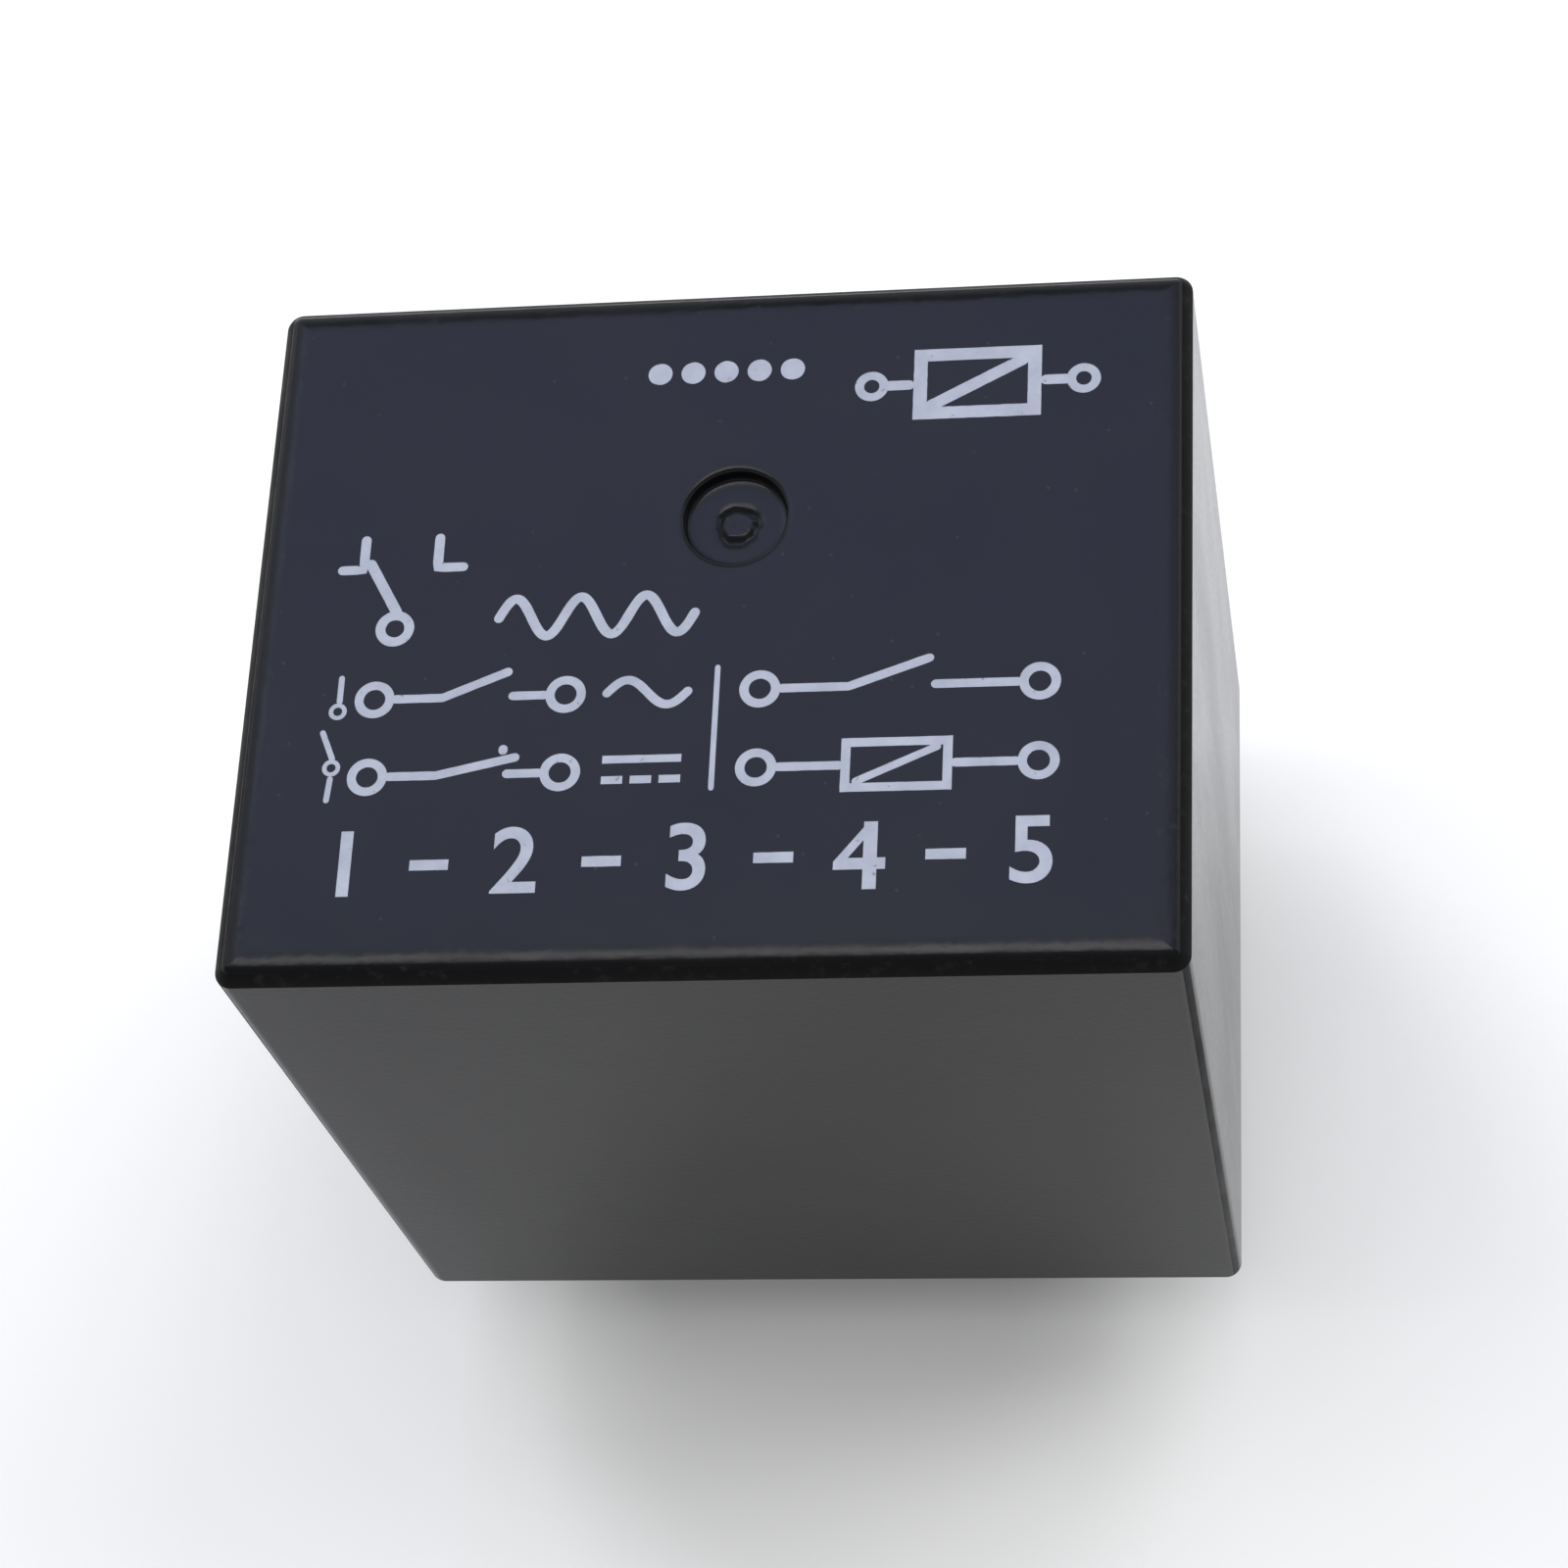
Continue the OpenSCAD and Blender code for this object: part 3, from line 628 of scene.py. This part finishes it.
class Print:
    """Thin raised ink shapes on the roof, each a strip with two sides."""

    def __init__(self):
        self.v, self.f, self.count = [], [], 0

    def strip(self, line, half, closed=False):
        """line: centre points; half: half width, or one per point."""
        n = len(line)
        hs = half if isinstance(half, list) else [half] * n
        z1 = TOP - 0.0006 - 0.00012 * (self.count % 16)
        z0 = FACE - 0.003
        self.count += 1
        s = len(self.v)
        for i, (x, y) in enumerate(line):
            a = line[(i - 1) % n] if closed or i > 0 else line[0]
            b = line[(i + 1) % n] if closed or i < n - 1 else line[-1]
            dx, dy = b[0] - a[0], b[1] - a[1]
            d = math.hypot(dx, dy) or 1.0
            ox, oy = -dy / d, dx / d
            h = hs[i] * (1 + 0.05 * noise.noise(Vector((x * 6, y * 6, self.count * 1.7))))
            for sx, z in ((1, z1), (-1, z1), (-1, z0), (1, z0)):
                self.v.append((x + sx * ox * h, y + sx * oy * h, z))
        m = n if closed else n - 1
        for i in range(m):
            p, q = s + 4 * i, s + 4 * ((i + 1) % n)
            for k in range(4):
                self.f.append((p + k, p + (k + 1) % 4, q + (k + 1) % 4, q + k))
        if not closed:
            self.f.append(tuple(s + k for k in (3, 2, 1, 0)))
            e = s + 4 * (n - 1)
            self.f.append(tuple(e + k for k in (0, 1, 2, 3)))

    def line(self, pts, w, step=0.12):
        """Round-ended line of width w."""
        out = []
        for (x0, y0), (x1, y1) in zip(pts, pts[1:]):
            k = max(1, int(math.hypot(x1 - x0, y1 - y0) / step))
            out += [(x0 + (x1 - x0) * i / k, y0 + (y1 - y0) * i / k) for i in range(k)]
        out.append(pts[-1])
        h = w / 2

        def cap(p, q):
            d = math.hypot(p[0] - q[0], p[1] - q[1])
            ux, uy = (p[0] - q[0]) / d, (p[1] - q[1]) / d
            return [((p[0] + ux * h * math.sin(t), p[1] + uy * h * math.sin(t)), h * math.cos(t))
                    for t in (0.45, 0.9, 1.25, 1.5)]
        a, b = cap(out[0], out[1]), cap(out[-1], out[-2])
        full = [p for p, _ in reversed(a)] + out + [p for p, _ in b]
        half = [r for _, r in reversed(a)] + [h] * len(out) + [r for _, r in b]
        self.strip(full, half)

    def ring(self, x, y, r, w, n=40):
        self.strip([(x + r * math.cos(2 * math.pi * i / n), y + r * math.sin(2 * math.pi * i / n))
                    for i in range(n)], w / 2, True)

    def dot(self, x, y, r, n=18):
        self.strip([(x - r * math.cos(math.pi * i / n), y) for i in range(n + 1)],
                   [max(r * math.sin(math.pi * i / n), 0.004) for i in range(n + 1)])

    def bar(self, x0, y0, x1, y1):
        """Filled rectangle."""
        k = max(1, int((x1 - x0) / 0.15))
        self.strip([(x0 + (x1 - x0) * i / k, (y0 + y1) / 2) for i in range(k + 1)], (y1 - y0) / 2)

    def patch(self, pts):
        """Filled outline, counter-clockwise."""
        z1 = TOP - 0.0006 - 0.00012 * (self.count % 16)
        self.count += 1
        s, n = len(self.v), len(pts)
        self.v += [(x, y, z1) for x, y in pts] + [(x, y, FACE - 0.003) for x, y in pts]
        self.f.append(tuple(s + i for i in range(n)))
        self.f.append(tuple(s + n + i for i in reversed(range(n))))
        for i in range(n):
            j = (i + 1) % n
            self.f.append((s + n + i, s + n + j, s + j, s + i))

    def frame(self, x0, y0, x1, y1, w):
        h = w / 2
        self.bar(x0 - h, y0 - h, x1 + h, y0 + h)
        self.bar(x0 - h, y1 - h, x1 + h, y1 + h)
        self.line([(x0, y0), (x0, y1)], w)
        self.line([(x1, y0), (x1, y1)], w)

    def wave(self, x0, x1, y, amp, periods, w):
        n = int(36 * periods)
        self.line([(x0 + (x1 - x0) * i / n, y + amp * math.sin(2 * math.pi * periods * i / n))
                   for i in range(n + 1)], w, 1.0)


p = Print()
W = 0.20
# five dots, one for each terminal
for i in range(5):
    p.dot(-1.45 + 0.74 * i, 6.08, 0.27)
# coil sign
p.frame(4.35, 4.82, 6.85, 6.28, 0.30)
p.line([(4.62, 5.02), (6.58, 6.08)], 0.28)
p.line([(3.66, 5.55), (4.10, 5.55)], 0.24)
p.line([(7.10, 5.55), (7.54, 5.55)], 0.24)
p.ring(3.28, 5.55, 0.27, 0.2)
p.ring(7.92, 5.55, 0.27, 0.2)
# change-over sign
p.ring(-6.95, -0.05, 0.32, 0.22)
p.line([(-6.95, 0.36), (-7.62, 1.55)], 0.24)
p.line([(-8.25, 1.42), (-7.78, 1.42), (-7.78, 2.15)], 0.22)
p.line([(-5.55, 1.42), (-6.12, 1.42), (-6.12, 2.15)], 0.22)
# alternating wave
p.wave(-4.65, -0.35, 0.12, 0.46, 3, 0.22)
# small contact marks in the margin
p.line([(-8.02, -1.22), (-8.02, -1.78)], 0.13)
p.ring(-8.04, -2.02, 0.15, 0.1, 24)
p.line([(-8.32, -2.52), (-8.06, -3.14)], 0.13)
p.ring(-8.06, -3.36, 0.15, 0.1, 24)
p.line([(-8.06, -3.62), (-8.10, -4.12)], 0.13)
# upper row: open contact, wave, divider, change of contact
for x0, x1 in ((-7.35, -2.95), (1.05, 7.2)):
    p.ring(x0 + 0.1, -1.76, 0.34, W)
    p.ring(x1 - 0.1, -1.76, 0.34, W)
p.line([(-6.78, -1.76), (-5.75, -1.76), (-4.35, -1.18)], W)
p.line([(-4.20, -1.76), (-3.52, -1.76)], W)
p.wave(-2.15, -0.40, -1.76, 0.30, 1, 0.20)
p.line([(1.62, -1.76), (3.05, -1.76), (4.75, -1.14)], W)
p.line([(4.90, -1.76), (6.63, -1.76)], W)
p.line([(0.22, -4.05), (0.22, -1.22)], 0.12)
# lower row: closed contact, direct-current sign, coil
for x0, x1 in ((-7.35, -2.95), (1.05, 7.2)):
    p.ring(x0 + 0.1, -3.60, 0.34, W)
    p.ring(x1 - 0.1, -3.60, 0.34, W)
p.line([(-6.78, -3.60), (-5.75, -3.60), (-4.05, -3.22)], W)
p.line([(-4.32, -3.05), (-4.32, -3.02)], W)
p.line([(-4.20, -3.60), (-3.52, -3.60)], W)
p.bar(-2.15, -3.42, -0.45, -3.24)
for i in range(3):
    p.bar(-2.15 + 0.62 * i, -3.90, -1.69 + 0.62 * i, -3.72)
p.line([(1.62, -3.60), (2.90, -3.60)], W)
p.frame(3.05, -4.12, 5.20, -3.08, W)
p.line([(3.28, -3.98), (4.97, -3.22)], 0.17)
p.line([(5.36, -3.60), (6.63, -3.60)], W)
# dashes between the terminal numbers
for x in (-5.72, -2.02, 1.62, 5.22):
    p.bar(x - 0.42, -5.80, x + 0.42, -5.56)
# number 4: stem, bar and slope
for outline in (((0.08, -0.76), (0.37, -0.76), (0.37, 0.77), (0.08, 0.77)),
                ((-0.54, -0.31), (0.55, -0.31), (0.55, -0.05), (-0.475, -0.05), (-0.54, -0.13)),
                ((-0.54, -0.13), (-0.24, -0.13), (-0.24, -0.05), (0.34, 0.675), (0.34, 0.77), (0.18, 0.77))):
    p.patch([(3.42 + x, -5.68 + y) for x, y in outline])
roof_signs = mesh_object("roof_signs", p.v, p.f, [INK_M], sharp=30.0)
place(roof_signs, "frame", "print_ink")


def number(text, x, y, height, name):
    """Plain number, centred, raised like the other ink."""
    cu = bpy.data.curves.new(name, "FONT")
    cu.body = text
    cu.size = height * 1.37 * MM
    cu.align_x, cu.align_y = "CENTER", "CENTER"
    cu.offset = 0.030 * MM
    cu.extrude = (TOP - 0.0006 - FACE + 0.003) / 2 * MM
    cu.resolution_u = 8
    ob = bpy.data.objects.new(name, cu)
    bpy.context.scene.collection.objects.link(ob)
    ob.location = (x * MM, y * MM, (TOP - 0.0006) * MM - cu.extrude)
    bpy.context.view_layer.update()
    dg = bpy.context.evaluated_depsgraph_get()
    me = bpy.data.meshes.new_from_object(ob.evaluated_get(dg))
    me.transform(ob.matrix_world)
    bpy.data.objects.remove(ob)
    bpy.data.curves.remove(cu)
    return me


def build_numbers():
    bm = bmesh.new()
    for text, x in (("1", -7.55), ("2", -3.88), ("3", -0.20), ("5", 7.00)):
        me = number(text, x, -5.70, 1.55, "number_" + text)
        bm.from_mesh(me)
        bpy.data.meshes.remove(me)
    bmesh.ops.remove_doubles(bm, verts=bm.verts[:], dist=1e-8)
    bmesh.ops.dissolve_degenerate(bm, dist=1e-8, edges=bm.edges[:])
    for f in bm.faces:
        f.material_index = 0
    return from_bmesh("roof_numbers", bm, [INK_M], 30.0)


roof_numbers = place(build_numbers(), "frame", "print_ink")


# ------------------------------------------------------------------ underside

def build_resin():
    """Poured layer: flat pool that climbs the rim and every pin."""
    pins = [("r", PIN_X, PIN_Y, 0.30, 0.30), ("r", PIN_X, -PIN_Y, 0.30, 0.30),
            ("b", CONTACT_X, PIN_Y, 0.65, 0.25), ("b", CONTACT_X, -PIN_Y, 0.65, 0.25),
            ("b", COM_X, 0.0, 0.25, 0.65)]
    nx, ny = 190, 150
    hx, hy = INX, INY
    verts, faces = [], []

    def depth(x, y):
        wall = min(hx - abs(x), hy - abs(y))
        z = 0.20 - 0.085 * math.exp(-wall / 0.22)
        for kind, px, py, a, b in pins:
            if kind == "r":
                d = max(0.0, math.hypot(x - px, y - py) - a)
            else:
                d = math.hypot(max(0.0, abs(x - px) - a), max(0.0, abs(y - py) - b))
            z -= 0.13 * math.exp(-d / 0.20)
        z += 0.016 * noise.noise(Vector((x * 0.55, y * 0.55, 3.1)))
        z += 0.005 * noise.noise(Vector((x * 2.1, y * 2.1, 7.7)))
        return max(0.03, z)

    for j in range(ny + 1):
        for i in range(nx + 1):
            x, y = -hx + 2 * hx * i / nx, -hy + 2 * hy * j / ny
            verts.append((x, y, depth(x, y)))
    row = nx + 1
    for j in range(ny):
        for i in range(nx):
            a = j * row + i
            faces.append((a, a + row, a + row + 1, a + 1))
    rim = [i for i in range(row)] + [j * row + nx for j in range(1, ny + 1)] \
        + [ny * row + i for i in range(nx - 1, -1, -1)] + [j * row for j in range(ny - 1, 0, -1)]
    s = len(verts)
    for k in rim:
        verts.append((verts[k][0], verts[k][1], 0.55))
    m = len(rim)
    for k in range(m):
        faces.append((rim[k], rim[(k + 1) % m], s + (k + 1) % m, s + k))
    c = len(verts)
    verts.append((0.0, 0.0, 0.55))
    for k in range(m):
        faces.append((s + k, s + (k + 1) % m, c))
    return mesh_object("sealing_pool", verts, faces, [RESIN_M], sharp=60.0)


place(build_resin(), "frame", "resin", "sealing_resin")


def dipped(ob, z_top, amount, seed):
    """Gives the exposed, dipped length of a pin a slightly swollen uneven skin."""
    me = ob.data
    bm = bmesh.new()
    bm.from_mesh(me)
    for z in [z_top * MM - 0.00012 * i for i in range(0, 30)]:
        bmesh.ops.bisect_plane(bm, geom=bm.verts[:] + bm.edges[:] + bm.faces[:], dist=1e-8,
                               plane_co=(0, 0, z), plane_no=(0, 0, 1))
    bm.normal_update()
    for v in bm.verts:
        z = v.co.z / MM
        if z < z_top - 0.05 and z > -3.35:
            k = 0.5 + noise.noise(Vector((v.co.x * 1300, v.co.y * 1300, v.co.z * 900 + seed)))
            n = v.normal.copy()
            n.z = 0
            v.co += n * (amount * MM * k * min(1.0, (z_top - z) / 0.5))
    bm.to_mesh(me)
    bm.free()
    me.polygons.foreach_set("use_smooth", [True] * len(me.polygons))
    me.set_sharp_from_angle(angle=math.radians(55))
    return ob


for i, (node, name) in enumerate((("coil_pin_a", "coil_post_a"), ("coil_pin_b", "coil_post_b"))):
    place(dipped(soft_copy(node, name, [PIN_M], 0.05), 0.0, 0.020, 3.0 + 5 * i),
          "frame", "tinned_pin", node)
for i, (node, name) in enumerate((("com_terminal", "common_strip"), ("no_terminal", "open_strip"),
                                  ("nc_terminal", "closed_strip"))):
    place(dipped(soft_copy(node, name, [STRIP_M], 0.06), 0.0, 0.022, 20.0 + 7 * i),
          "frame", "tinned_strip", node)


# ------------------------------------------------------------------ inside

place(soft_copy("base", "base_plate", [BASE_M], 0.10), "frame", "base_plastic", "base")
place(soft_copy("bobbin", "coil_former", [BOBBIN_M], 0.09), "frame", "bobbin_plastic", "bobbin")
place(soft_copy("core", "pole_core", [IRON_M], 0.12), "frame", "plated_iron", "core")
place(soft_copy("yoke", "yoke_frame", [IRON_M], 0.09), "frame", "plated_iron", "yoke")
place(soft_copy("no_contact", "open_rivet", [SILVER_M], 0.08, 3), "frame", "contact_silver", "no_contact")
place(soft_copy("nc_contact", "closed_rivet", [SILVER_M], 0.08, 3), "frame", "contact_silver", "nc_contact")


def build_winding():
    """Outermost layer of the coil as round turns lying side by side."""
    (_, _, z0), (_, _, z1) = [tuple(c / MM for c in v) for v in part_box("coil_winding")]
    wire, cols, per = 0.16, 96, 6
    turns = int((z1 - z0) / wire) + 2
    verts, faces = [], []
    rows = turns * per
    base_r = COIL_R - wire / 2

    def at(r, i, z):
        a = 2 * math.pi * i / cols
        return (COIL_X + r * math.cos(a), r * math.sin(a), z)

    for j in range(rows + 1):
        off = (j % per) / per
        d = (off if off <= 0.5 else 1 - off) * wire
        r = base_r + math.sqrt(max(0.0, (wire / 2) ** 2 - d * d))
        for i in range(cols + 1):
            z = z0 + wire * (j / per - 1.0 + i / cols)
            if z <= z0:
                verts.append(at(base_r, i, z0))
            elif z >= z1:
                verts.append(at(base_r, i, z1))
            else:
                verts.append(at(r, i, z))
    row = cols + 1
    for j in range(rows):
        for i in range(cols):
            a = j * row + i
            faces.append((a, a + 1, a + row + 1, a + row))
    for za, flip in ((z0, True), (z1, False)):
        s = len(verts)
        for i in range(cols + 1):
            verts.append(at(base_r, i, za))
            verts.append(at(COIL_IN, i, za))
        for i in range(cols):
            q = (s + 2 * i, s + 2 * i + 2, s + 2 * i + 3, s + 2 * i + 1)
            faces.append(q[::-1] if flip else q)
    s = len(verts)
    for i in range(cols + 1):
        verts.append(at(COIL_IN, i, z0))
        verts.append(at(COIL_IN, i, z1))
    for i in range(cols):
        faces.append((s + 2 * i, s + 2 * i + 1, s + 2 * i + 3, s + 2 * i + 2))
    bm = bmesh.new()
    vs = [bm.verts.new(tuple(c * MM for c in v)) for v in verts]
    for f in faces:
        bm.faces.new([vs[k] for k in f])
    bmesh.ops.remove_doubles(bm, verts=bm.verts[:], dist=2e-8)
    bmesh.ops.dissolve_degenerate(bm, dist=2e-8, edges=bm.edges[:])
    bmesh.ops.recalc_face_normals(bm, faces=bm.faces[:])
    return from_bmesh("coil_turns", bm, [WIRE_M], 75.0)


place(build_winding(), "frame", "copper_wire", "coil_winding")


def build_lead(sign, name):
    """Wire end: off the coil, straight to its post, wound round it."""
    wr = 0.06
    lr = COIL_R + wr + 0.02
    wrap = 0.35 * math.sqrt(2) + wr + 0.01
    gx, gy = PIN_X - COIL_X, PIN_Y
    a0 = math.atan2(gy, gx) - math.acos((lr - wrap) / math.hypot(gx, gy))
    z0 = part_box("coil_winding")[0].z / MM - 0.02 + 0.3
    line = []
    for i in range(13):
        a = a0 + math.radians(-36 + 3 * i)
        line.append((COIL_X + lr * math.cos(a), lr * math.sin(a), z0))
    for i in range(127):
        a = a0 + math.radians(10 * i)
        line.append((PIN_X + wrap * math.cos(a), PIN_Y + wrap * math.sin(a), z0 + 0.014 * i / 3))
    n = 10
    verts, faces = [], []
    up = Vector((0, 0, 1))
    pts = [Vector((x, sign * y, z)) for x, y, z in line]
    for i, q in enumerate(pts):
        t = (pts[min(i + 1, len(pts) - 1)] - pts[max(i - 1, 0)]).normalized()
        s = t.cross(up).normalized()
        w = s.cross(t)
        for k in range(n):
            a = 2 * math.pi * k / n
            verts.append(tuple(q + wr * (math.cos(a) * s + math.sin(a) * w)))
    for i in range(len(pts) - 1):
        for k in range(n):
            a, b = i * n + k, i * n + (k + 1) % n
            faces.append((a, b, b + n, a + n))
    for e, rev in ((0, True), (len(pts) - 1, False)):
        c = len(verts)
        verts.append(tuple(pts[e] + (pts[e] - pts[e - 1 if e else 1]).normalized() * 0.03))
        for k in range(n):
            tri = (e * n + k, e * n + (k + 1) % n, c)
            faces.append(tri[::-1] if rev else tri)
    ob = mesh_object(name, verts, faces, [WIRE_M], sharp=60.0)
    bm = bmesh.new()
    bm.from_mesh(ob.data)
    bmesh.ops.recalc_face_normals(bm, faces=bm.faces[:])
    bm.to_mesh(ob.data)
    bm.free()
    return ob


place(build_lead(1, "wire_end_a"), "frame", "copper_wire", "coil_lead_a")
place(build_lead(-1, "wire_end_b"), "frame", "copper_wire", "coil_lead_b")

# Moving pieces
place(soft_copy("armature", "armature_plate", [IRON_M], 0.08), "armature", "plated_iron", "armature")
place(soft_copy("moving_contact", "moving_rivet", [SILVER_M], 0.07, 3), "armature", "contact_silver",
      "moving_contact")
leaf = soft_copy("contact_spring", "contact_leaf", [BRONZE_M], 0.03, 2)
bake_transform(leaf)
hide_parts("contact_spring")


# ------------------------------------------------------------------ stage and light

def build_floor():
    n, r = 64, 0.9
    verts = [(0.0, 0.0, FLOOR_Z)]
    faces = []
    for k, rr in enumerate((0.05, 0.15, 0.4, r)):
        for i in range(n):
            a = 2 * math.pi * i / n
            verts.append((rr * math.cos(a), rr * math.sin(a), FLOOR_Z))
        for i in range(n):
            j = (i + 1) % n
            if k == 0:
                faces.append((0, 1 + i, 1 + j))
            else:
                p0, p1 = 1 + (k - 1) * n, 1 + k * n
                faces.append((p0 + i, p1 + i, p1 + j, p0 + j))
    return mesh_object("floor", verts, faces, [floor_card()], scale=1.0)


build_floor()


def panel(name, centre, size, radiance, color=(1, 1, 1), aim=(0, 0, 0.012)):
    """Rectangular soft light of a given radiance, facing aim."""
    d = bpy.data.lights.new(name, "AREA")
    d.shape = "RECTANGLE"
    d.size, d.size_y = size
    d.energy = radiance * math.pi * size[0] * size[1]
    d.color = color
    ob = bpy.data.objects.new(name, d)
    ob.location = centre
    ob.rotation_euler = (Vector(aim) - Vector(centre)).to_track_quat("-Z", "Y").to_euler()
    bpy.context.scene.collection.objects.link(ob)
    return ob


def sun(name, direction, strength, angle, color=(1, 1, 1)):
    d = bpy.data.lights.new(name, "SUN")
    d.energy = strength
    d.angle = math.radians(angle)
    d.color = color
    ob = bpy.data.objects.new(name, d)
    ob.location = Vector(direction) * 0.5
    ob.rotation_euler = (-Vector(direction)).to_track_quat("-Z", "Y").to_euler()
    bpy.context.scene.collection.objects.link(ob)
    return ob


panel("sky_panel", (-0.090, 0.285, 0.47), (0.42, 0.23), 1.02, (0.545, 0.605, 1.0), (-0.090, 0.285, 0.0))
panel("sky_right", (0.245, 0.285, 0.47), (0.25, 0.23), 0.62, (0.60, 0.65, 1.0), (0.245, 0.285, 0.0))
panel("sky_right_low", (0.37, 0.22, 0.28), (0.22, 0.20), 0.46, (0.82, 0.86, 1.0))
panel("sky_left", (-0.30, 0.20, 0.30), (0.20, 0.30), 0.5, (0.75, 0.82, 1.0))
panel("sky_back", (-0.06, 0.46, 0.20), (0.50, 0.26), 0.45, (0.90, 0.93, 1.0))
panel("edge_strip", (-0.165, 0.040, 0.47), (0.13, 0.09), 1.80, (0.97, 0.98, 1.0), (-0.165, 0.040, 0.0))
panel("edge_strip_right", (0.02, 0.040, 0.47), (0.24, 0.09), 2.35, (1.0, 0.98, 1.0), (0.02, 0.040, 0.0))
panel("edge_soft", (-0.03, 0.127, 0.47), (0.34, 0.085), 0.66, (0.74, 0.79, 1.0), (-0.03, 0.127, 0.0))
# Low ring of soft boxes for the sheen and the pins at flat angles
for i, turn in enumerate((-135, -90, -45, 0, 45, 135, 180)):
    a = math.radians(turn)
    panel("ring_%d" % i, (0.45 * math.cos(a), 0.45 * math.sin(a), 0.135), (0.34, 0.20), 0.40 if turn < 0 else 0.45)
# Soft light for the room, kept out of the reflections
for lamp in (panel("ceiling", (-0.10, 0.20, 0.75), (1.1, 1.1), 1.22, (1, 1, 1), (-0.10, 0.20, 0)),
             sun("key_left", (-0.72, 0.05, 0.65), 0.30, 25),
             sun("key_right", (0.70, 0.34, 0.65), 0.90, 25),
             sun("rim_right", (0.42, 0.66, 0.62), 0.65, 25),
             sun("front_fill", (0.0, -0.45, 0.85), 0.35, 25),
             sun("rim_left", (-0.52, 0.66, 0.54), 0.90, 25)):
    lamp.visible_glossy = False
for ob in bpy.data.objects:
    if ob.type == "LIGHT":
        ob.visible_camera = False

world = bpy.data.worlds.new("room")
world.use_nodes = True
wt = world.node_tree
backdrop = wt.nodes.new("ShaderNodeMix")
backdrop.data_type = "RGBA"
backdrop.inputs[6].default_value = (0.06, 0.06, 0.062, 1)
backdrop.inputs[7].default_value = (0.72, 0.72, 0.73, 1)
wt.links.new(wt.nodes.new("ShaderNodeLightPath").outputs["Is Camera Ray"], backdrop.inputs[0])
wt.links.new(backdrop.outputs[2], wt.nodes["Background"].inputs["Color"])
wt.nodes["Background"].inputs["Strength"].default_value = 1.0
bpy.context.scene.world = world

bpy.context.scene.view_settings.view_transform = "Standard"
bpy.context.scene.view_settings.look = "None"
bpy.context.scene.view_settings.exposure = 0.0
bpy.context.scene.view_settings.gamma = 1.0

# ------------------------------------------------------------------ camera

cam_data = bpy.data.cameras.new("camera")
cam_data.sensor_width = 36.0
cam_data.lens = 91.51
cam_data.clip_start, cam_data.clip_end = 0.005, 10.0
cam = bpy.data.objects.new("camera", cam_data)
cam.matrix_world = Matrix(((0.98707652, 0.02470417, 0.15833400, 0.01496276),
                           (0.04502744, 0.90548347, -0.42198604, -0.03915774),
                           (-0.15379363, 0.42366188, 0.89266910, 0.09456687),
                           (0, 0, 0, 1)))
bpy.context.scene.collection.objects.link(cam)
bpy.context.scene.camera = cam

bpy.context.view_layer.update()
